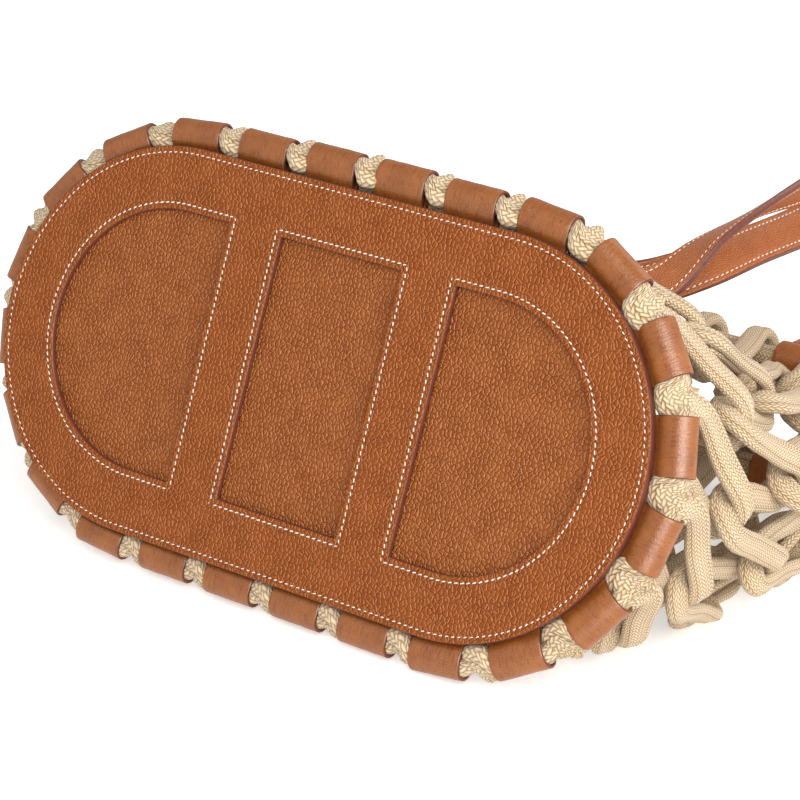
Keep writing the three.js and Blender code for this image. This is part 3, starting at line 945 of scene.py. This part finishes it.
def rim_axes(turn):
    """The tunnel's line at a share of the rim: place, out, inwards and along, in base axes."""
    centre, out_x, out_z = stadium(turn, HALF, RADIUS)
    lean, back = loop_lean(turn)
    reach = RADIUS + TUNNEL_OUT + lean
    out = np.array([out_x, 0, out_z])
    inward = np.array([0.0, 1, 0])
    at = np.array([centre + reach * out_x, TUNNEL_DEPTH + back, reach * out_z])
    return at, out, inward, np.cross(out, inward)


ROOT_SEAM = (-5.2, -1.75)
ROOT_SHIFT = (0.35, 0.75)
ROOT_STITCHES = 8
ROOT_MARGIN = 1.6
ROOT_LIFT = 0.05
ROOT_SLANT = 0.1
roots = Patches()
for column in range(COLUMNS):
    at, out, inward, along = rim_axes((column + 0.5) / COLUMNS)
    lean = loop_lean((column + 0.5) / COLUMNS)

    def tab_row(points, at=at, out=out, inward=inward, along=along):
        return base_row(at + points[..., :1] * out + points[..., 1:2] * inward + points[..., 2:] * along)

    number = f"{column + 1:02d}"
    made = folded_strip(f"tab_{number}", TAB_FOLD, TAB_WIDTH, tab_row, column + 1.3, lean=lean)
    show(made, "loop_leather", f"rim_tab_{number}")
    spans = np.linspace(-TAB_WIDTH / 2 + ROOT_MARGIN, TAB_WIDTH / 2 - ROOT_MARGIN, ROOT_STITCHES)
    seam = rooted(np.array([ROOT_SEAM]), lean)[0] - ROOT_SHIFT
    spots = np.array([at + seam[0] * out + seam[1] * inward + s * along for s in spans])
    normal = np.broadcast_to(unit(-inward - 0.5 * out), spots.shape)
    stitch_row(roots, spots, np.broadcast_to(along, spots.shape), normal, ROOT_LIFT, ROOT_SLANT)
roots.points = [base_row(points) for points in roots.points]
show(roots.make("tab_root_stitches", (BROWN_THREAD,)), None)


# Net

def lying(points):
    """Base axes to the lying frame, in millimetres."""
    return base_row(points) / MM - ORIGIN


def section_point(section, turn):
    top_y, top_z, low_y, low_z, half_width = section
    top, low = np.array([0, top_y, top_z], float), np.array([0, low_y, low_z], float)
    radius = np.linalg.norm(top - low) / 2
    centre, out_x, out_z = stadium(turn, half_width - radius, radius)
    point = (top + low) / 2 + unit(top - low) * radius * out_z
    point[0] = centre + radius * out_x
    return point


def smoothstep(value, low, high):
    share = min(max((value - low) / (high - low), 0), 1)
    return share * share * (3 - 2 * share)


def sag(turn, back):
    """How far the net's sides hang down by their own weight, as a share of a turn."""
    hung, held = smoothstep(back, 0, SAG_FULL), smoothstep(back, SAG_EASES, 1)
    return SAG / COLUMNS * math.sin(2 * math.pi * turn) * hung * (1 - held)


def net_point(turn, back):
    hung = turn + sag(turn, back)
    points = [lying(rim_axes(turn)[0])] + [section_point(section, hung) for section in NET_SECTIONS]
    return catmull(points, [back])[0]


def net_frame(column, back):
    """Place, along, back and out on the net's surface."""
    step, turn = 0.01, column / COLUMNS
    along = unit(net_point(turn + step / 2, back) - net_point(turn - step / 2, back))
    inward = unit(net_point(turn, min(back + step, 1)) - net_point(turn, max(back - step, 0)))
    return net_point(turn, back), along, inward, unit(np.cross(along, inward))


def spot(axes, along, back, out, kind, normal=None):
    """A point of a rope's route with the way its flat side faces and its size."""
    at = axes[0] + axes[1] * along + axes[2] * back + axes[3] * out
    return np.concatenate([at, axes[3] if normal is None else normal, ROPE_SIZE[kind]])


def bight(axes, way):
    """The turn of a strand: way is 1 at its far end and -1 at its near end."""
    facing = unit(0.7 * axes[3] + way * 0.7 * axes[2])
    return [spot(axes, -BIGHT_HALF, way * BIGHT_SHOULDER, way * LAYER, "bight"),
            spot(axes, 0, way * HOOK_REACH, 0, "bight", facing),
            spot(axes, BIGHT_HALF, way * BIGHT_SHOULDER, -way * LAYER, "bight")]


def mouth_crest(axes):
    points = []
    for step in range(MOUTH_LOOP_STEPS + 1):
        share = step / MOUTH_LOOP_STEPS
        rise, reach = math.cos(math.pi * share), math.sin(math.pi * share)
        points.append(spot(axes, MOUTH_LOOP_HALF * (2 * share - 1), MOUTH_LOOP * reach, MOUTH_LOOP * rise,
                           "loop", axes[2] * reach + axes[3] * rise))
    return points


def hook_axes(row_number, index):
    column = index + (row_number % 2) / 2
    if row_number == COURSES:
        turned = column % COLUMNS
        for sleeve in SLEEVES.values():
            if abs(sleeve - turned) < 1:
                column += HOOK_SHIFT * np.sign(turned - sleeve)
    return net_frame(column, row_number / COURSES)


def between(a, b):
    """The middle of a strand, where the rope is at its flattest."""
    middle = (a + b) / 2
    middle[6:] = ROPE_SIZE["strand"]
    return middle


def first_course(start):
    points = []
    for column in range(start, COLUMNS + start, 2):
        loop, leave = net_frame(column + 0.5, 0), net_frame(column + 1, 0)
        following, enter = net_frame(column + 1.5, 0), net_frame(column + 2, 0)
        hook = bight(hook_axes(1, column + 1), 1)
        behind = spot(leave, LEAVE_RUN, LEAVE_BACK, LEAVE_OUT, "strand", unit(leave[3] - leave[2]))
        ahead = spot(following, TAB_WIDTH / 2, BEHIND_TAB, -LAYER, "strand")
        facing = unit(0.5 * leave[3] - 0.85 * leave[2])
        lean = loop_lean((column + 1) / COLUMNS)[0]
        tuck = KNOB_TUCK * lean * max(leave[3][0], 0)
        knob = [spot(leave, GAP_NEAR, 0.5, -tuck, "gap", facing),
                spot(leave, GAP_FAR, 3.0, 0.4 - KNOB_TUCK * tuck, "gap", facing)]
        for each in knob:
            each[6] += KNOB_SPREAD * max(lean, 0)
        tunnel = [spot(loop, reach, 0, 0, "tunnel") for reach in (-TUNNEL_RUN, 0, TUNNEL_RUN)]
        points += [*tunnel, *knob, behind, between(behind, hook[0]), *hook, between(hook[-1], ahead),
                   ahead, spot(enter, 0, TUCKED_BACK, -TUCKED_OUT, "tucked")]
    return np.array(points)


def course(number):
    points = []
    flip = 1
    for index in range(COLUMNS):
        low = bight(hook_axes(number - 1, index), -1)
        axes = hook_axes(number, index + (number + 1) % 2)
        high = bight(axes, 1) if number < COURSES else mouth_crest(axes)
        following = bight(hook_axes(number - 1, index + 1), -1)
        leg = [*low, between(low[-1], high[0]), *high]
        for each in leg:
            each[3:6] *= flip
        if number == COURSES:
            flip = -flip
            following[0][3:6] *= flip
        leg.append(between(leg[-1], following[0]))
        points += leg
    return np.array(points)


def mouth_course():
    steps = range(2 * COLUMNS)
    return np.array([spot(net_frame(step / 2, 1), 0, 0, 0, "mouth") for step in steps])


def flat_section(sides):
    """Directions round a flattened tube at even steps of its girth."""
    wide, thick = ROPE_SIZE["strand"]
    angle = np.linspace(0, 2 * math.pi, 721)
    edge = np.stack([wide * np.cos(angle), thick * np.sin(angle)], -1)
    girth = run(edge)
    return np.interp((np.arange(sides) + 0.5) / sides * girth[-1], girth, angle)


def smoothed(values, reach):
    """Values round a closed line, blurred over a reach given in steps."""
    waves = np.fft.rfftfreq(len(values))
    blur = np.exp(-2 * (math.pi * waves * reach) ** 2)
    return np.fft.irfft(np.fft.rfft(values, axis=0) * blur[:, None], len(values), axis=0)


def rope(name, route, seed):
    """A soft braided rope along a closed route, flattened as its points say."""
    dense = catmull(route, np.linspace(0, 1, ROUTE_STEPS * len(route), endpoint=False), closed=True)
    whole = looped(dense)
    length = run(whole[:, :3])
    plaits = 2 * round(length[-1] / PLAIT / 2)
    count = PLAIT_STEPS * plaits
    step = length[-1] / count
    at = np.arange(count) * step
    even = np.stack([np.interp(at, length, whole[:, k]) for k in range(whole.shape[1])], -1)
    even = smoothed(even, ROPE_EASE / step)
    middle = even[:, :3]
    turn = np.roll(middle, -2, 0) - 2 * middle + np.roll(middle, 2, 0)
    bend = np.linalg.norm(turn, axis=1) / (2 * step) ** 2
    near = np.clip(bend * TIGHT_BEND, 0, 1)
    ring = np.cumsum(step * (near / RING_NEAR + (1 - near) / RING_FAR))
    pick = np.searchsorted(ring, np.linspace(0, ring[-1], int(ring[-1]), endpoint=False))
    way = unit(np.roll(middle, -1, 0) - np.roll(middle, 1, 0))[pick]
    middle, sizes, v = middle[pick], even[pick, 6:8], pick / PLAIT_STEPS
    normal = even[pick, 3:6]
    normal = unit(normal - way * np.sum(normal * way, -1, keepdims=True))
    side = np.cross(way, normal)
    u = (np.arange(ROPE_SIDES) + 0.5) / ROPE_SIDES
    angle = flat_section(ROPE_SIDES)
    wide, high = np.cos(angle), np.sin(angle)
    drift = np.array([[noise.noise(Vector((t * 0.06, seed, k * 9.1))) for k in range(3)] for t in v])
    column = COLUMN_RISE * np.cos(math.pi * (ROPE_SIDES * u - 1.5))
    swelled = sizes[:, :1] * (1 + ROPE_WANDER * drift[:, :1])
    a = swelled * np.sign(wide) * np.abs(wide) ** ROPE_ROUND + column * wide
    dent = DENT_DEEP * np.clip(0.5 + 1.6 * drift[:, 1:2], 0, 1)
    dent = dent * np.exp(-((wide - 0.5 * drift[:, 2:3]) / DENT_WIDE) ** 2)
    b = sizes[:, 1:] * (1 - dent) * np.sign(high) * np.abs(high) ** ROPE_ROUND + column * high
    points = row(middle[:, None] + side[:, None] * a[..., None] + normal[:, None] * b[..., None])
    points[..., 2] = np.maximum(points[..., 2], FLOOR_CLEAR)
    uv = np.stack(np.meshgrid(np.arange(ROPE_SIDES + 1) / ROPE_SIDES + u[0], np.append(v, plaits)), -1)
    patches = Patches()
    patches.grid(points, uv, close_rows=True, close_columns=True, flip=True)
    return patches.make(name, (ROPE,))


show(rope("rope_first_a", first_course(0), 1.7), "rope", "first_course_a")
show(rope("rope_first_b", first_course(1), 4.3), "rope", "first_course_b")
for number in range(2, COURSES + 1):
    show(rope(f"rope_course_{number}", course(number), 5.1 * number), "rope", f"course_{number}")
show(rope("rope_mouth", mouth_course(), 37.9), "rope", "mouth_rope")


# Sleeves and strap handles

def sleeve_axes(name):
    at, along, back, out = net_frame(SLEEVES[name], 1)
    return at, along, np.cross(out, along), out


for number, name in enumerate(SLEEVES):
    at, along, back, out = sleeve_axes(name)

    def sleeve_row(points, at=at, out=out, legs=-back, along=np.cross(-back, out)):
        return row(at + points[..., :1] * legs + points[..., 1:2] * out + points[..., 2:] * along)

    made = folded_strip(f"sleeve_{number + 1}", SLEEVE_FOLD, SLEEVE_LENGTH, sleeve_row, number + 31.7,
                        SLEEVE_LEATHER)
    show(made, "loop_leather", name)


# The strap's face from one edge to its middle line, with the sewn groove
STRAP_HALF = ((-10, 0.0), (-9.97, 0.75), (-9.8, 1.25), (-9.45, 1.58), (-8.9, 1.72), (-8.1, 1.7),
              (-7.7, 1.58), (-7.3, 1.5), (-6.9, 1.58), (-6.4, 1.72), (-4.5, 1.77), (-2.2, 1.8), (0, 1.8))
STRAP_FACE = (*STRAP_HALF, *((-x, z) for x, z in STRAP_HALF[-2::-1]))
STRAP_SEAM = 7.3
STRAP_STEPS = 221
STRAP_PAINT = 9.6
STRAP_STITCH_LIFT = 1.55
SEAM_SKIP = 3


def strap_rows(handle):
    """The strap's middle and its way across, from sleeve to sleeve."""
    ends = []
    for name in handle["sleeves"]:
        at, along, back, out = sleeve_axes(name)
        rise = LEG_HALF + GAP + STRAP_THICK / 2
        ends.append([np.concatenate([at + back * reach + out * rise, along])
                     for reach in (STRAP_START, STRAP_START + STRAP_SEWN)])
    route = [np.array(each, float) for each in handle["route"]]
    for end, near in ((ends[0], route[0]), (ends[1], route[-1])):
        if end[0][3] * near[3] < 0:
            for each in end:
                each[3:] *= -1
    return np.array([*ends[0], *route, *ends[1][::-1]])


def strap(name, handle, seams):
    rows = strap_rows(handle)
    shares = np.linspace(0, 1, STRAP_STEPS)
    path = catmull(rows[:, :3], shares)
    across = catmull(rows[:, 3:], shares)
    way = unit(np.gradient(path, axis=0))
    normal = unit(np.cross(way, across))
    across = np.cross(normal, way)
    length = run(path)
    top = np.array(STRAP_FACE)
    outline = np.concatenate([top, top[-2:0:-1] * (1, -1)])
    points = (path[:, None] + across[:, None] * outline[None, :, :1]
              + normal[:, None] * outline[None, :, 1:])
    uv = np.stack(np.meshgrid(run(looped(outline)), length), -1)
    edge = np.abs(looped(outline)[:, 0])
    painted = ((edge[:-1] + edge[1:]) / 2 > STRAP_PAINT).astype(int)
    patches = Patches()
    patches.grid(row(points), uv, np.tile(painted, len(path) - 1), close_columns=True)
    count = len(outline)
    caps = [np.arange(count), np.arange(count * (len(path) - 1), count * len(path))[::-1]]
    patches.faces.extend(caps)
    patches.uvs.append(np.concatenate([outline, outline[::-1]]))
    patches.picks.append(np.ones(2, int))
    for side in (-1, 1):
        for face in (-1, 1):
            line = path + across * side * STRAP_SEAM
            places, along, sample = walk(line[SEAM_SKIP:-SEAM_SKIP], False, STITCH_PITCH)
            out = unit(sample(normal[SEAM_SKIP:-SEAM_SKIP])) * face
            stitch_row(seams, row(places) / MM, along, out, STRAP_STITCH_LIFT)
    return patches.make(name, (STRAP_LEATHER, EDGE_PAINT))


for name, handle in HANDLES.items():
    seams = Patches()
    show(strap(f"{name}_strap", handle, seams), "strap_leather", name)
    seams.points = [points * MM for points in seams.points]
    show(seams.make(f"{name}_stitches", (WHITE_THREAD,)), None)


# Floor

corners = FLOOR_HALF * np.array([(-1, -1, 0), (1, -1, 0), (1, 1, 0), (-1, 1, 0)])
floor = piece("floor", corners, [(0, 1, 2, 3)], looks=(floor_look(),))
